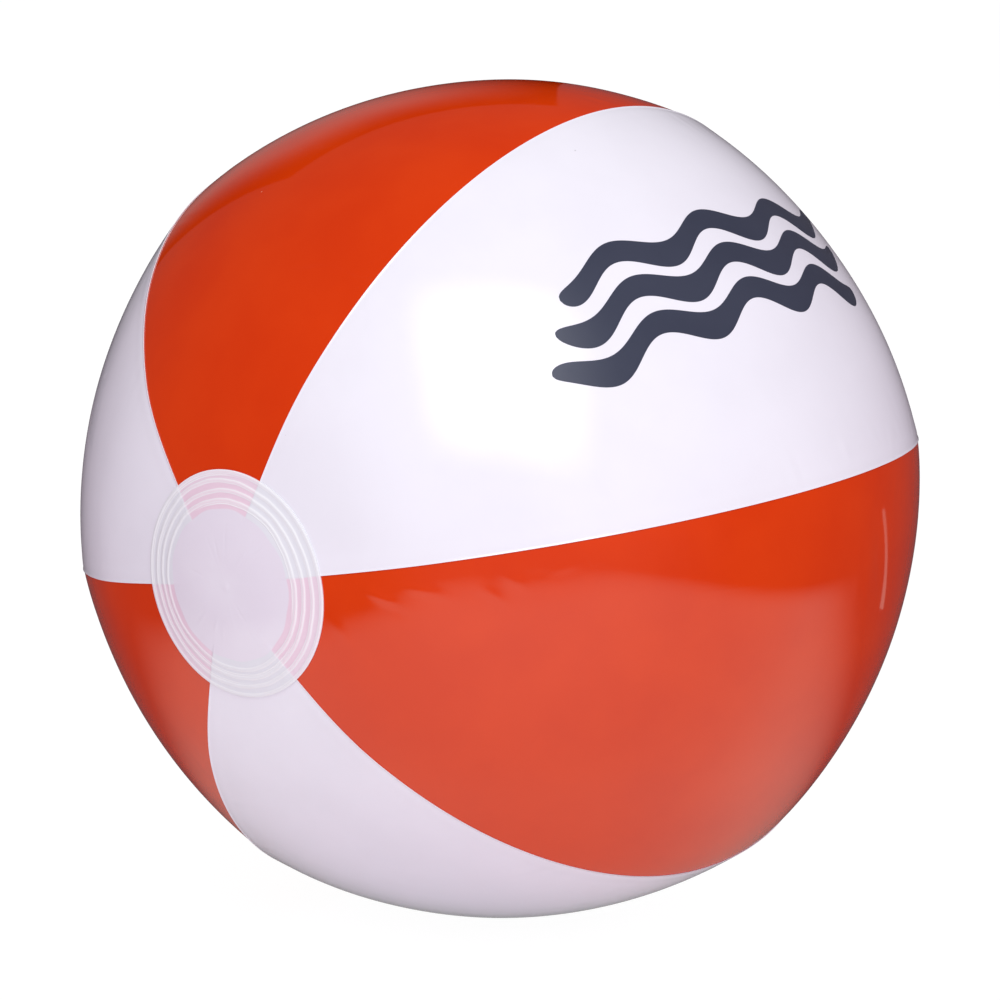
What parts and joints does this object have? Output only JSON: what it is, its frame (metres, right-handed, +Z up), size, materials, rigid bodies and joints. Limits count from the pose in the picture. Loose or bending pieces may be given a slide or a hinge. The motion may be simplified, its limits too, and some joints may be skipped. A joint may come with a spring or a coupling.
{
  "type": "inflatable beach ball",
  "caption": "Inflated beach ball of alternating red and white film panels, with round welded pole caps and a push-in air valve that has a tethered stopper.",
  "frame": {"origin": "the middle of the inflated ball", "axes": "+Y along the pole axis, from the front pole cap to the rear pole cap, +Z up, +X to the right seen from the front pole"},
  "size_m": [0.2596, 0.2506, 0.2578],
  "materials": {
    "red_film": "glossy flexible PVC film, opaque orange red",
    "white_film": "glossy flexible PVC film, white with a faint lilac tinge",
    "cap_film": "milky see-through PVC film, welded in rings",
    "valve_film": "soft moulded PVC, milky and slightly see-through",
    "print_ink": "thin screen-printed ink, dark navy"
  },
  "bodies": {
    "ball": {"white_gore_1": "white_film", "white_gore_2": "white_film", "white_gore_3": "white_film", "red_gore_1": "red_film", "red_gore_2": "red_film", "red_gore_3": "red_film", "front_pole_cap": "cap_film", "rear_pole_cap": "cap_film", "valve_flange": "valve_film", "valve_skirt": "valve_film"},
    "valve_stem": {"valve_stem": "valve_film", "stopper_strap": "valve_film"},
    "stopper": {"valve_stopper": "valve_film"},
    "check_flap": {"check_flap": "valve_film"}
  },
  "joints": [
    {"name": "valve_stem_slide", "type": "slide", "parent": "ball", "child": "valve_stem", "axis": [-0.6105, 0.766, 0.2012], "range_m": [0, 0.018], "deforming": ["valve_skirt"]},
    {"name": "stopper_hinge", "type": "hinge", "parent": "valve_stem", "child": "stopper", "pos_m": [-0.07772, 0.09654, 0.03351], "axis": [0.7276, 0.6428, -0.2398], "range_deg": [0, 150], "deforming": ["stopper_strap"]},
    {"name": "check_flap_hinge", "type": "hinge", "parent": "valve_stem", "child": "check_flap", "pos_m": [-0.07191, 0.08764, 0.02728], "axis": [-0.7276, -0.6428, 0.2398], "range_deg": [0, 60], "stiffness_Nm_per_rad": 0.00002}
  ]
}
